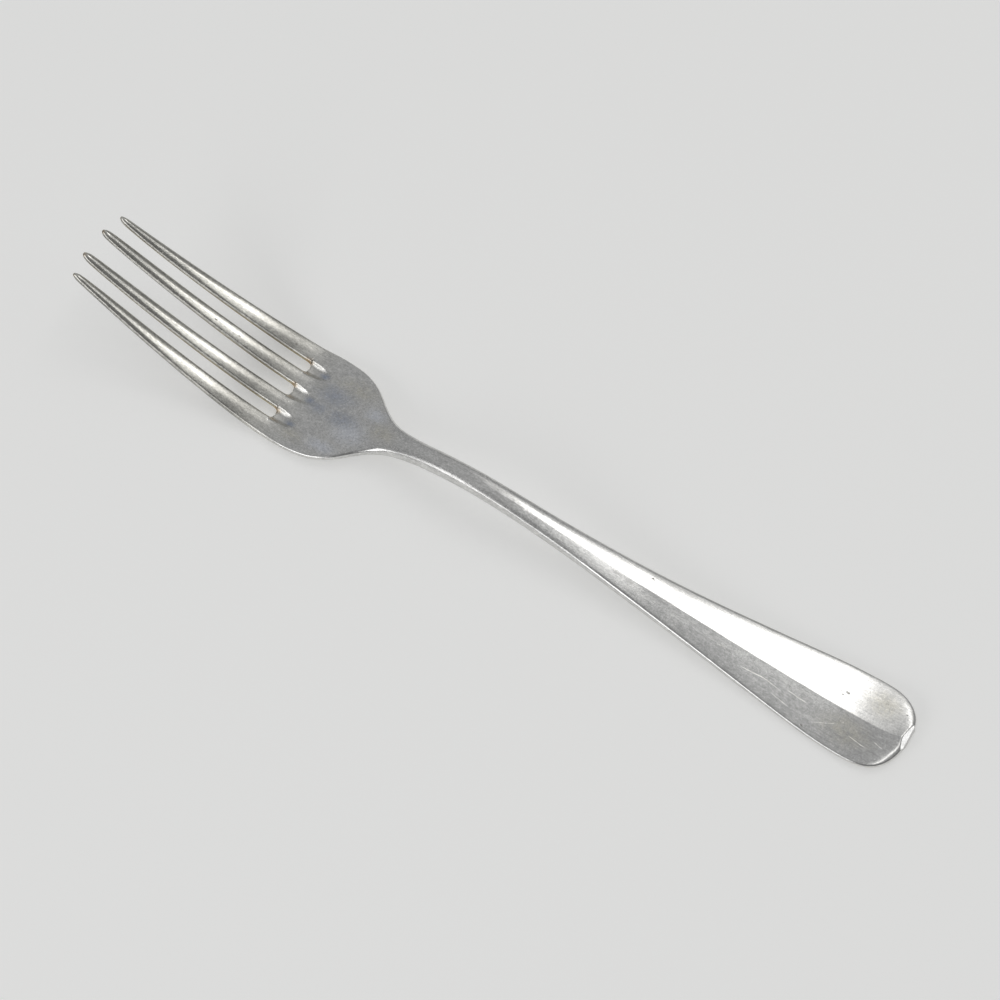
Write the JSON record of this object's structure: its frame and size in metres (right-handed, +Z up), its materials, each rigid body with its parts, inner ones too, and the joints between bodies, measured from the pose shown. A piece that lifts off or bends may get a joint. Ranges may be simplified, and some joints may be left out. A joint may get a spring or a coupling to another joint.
{
  "type": "dinner fork",
  "caption": "One-piece dinner fork: tapering tines, a dished palm, a slim arched neck and a broad handle with a low ridge, for spearing and lifting food.",
  "frame": {"origin": "on the table, under the middle of the fork", "axes": "+X toward the tine tips, +Y to the left, +Z up"},
  "size_m": [0.2049, 0.0258, 0.0208],
  "materials": {
    "worn_silver": "worn satin silver with fine lengthwise scratches and brown tarnish in the slots"
  },
  "bodies": {
    "root": {"fork": "worn_silver"}
  },
  "joints": []
}
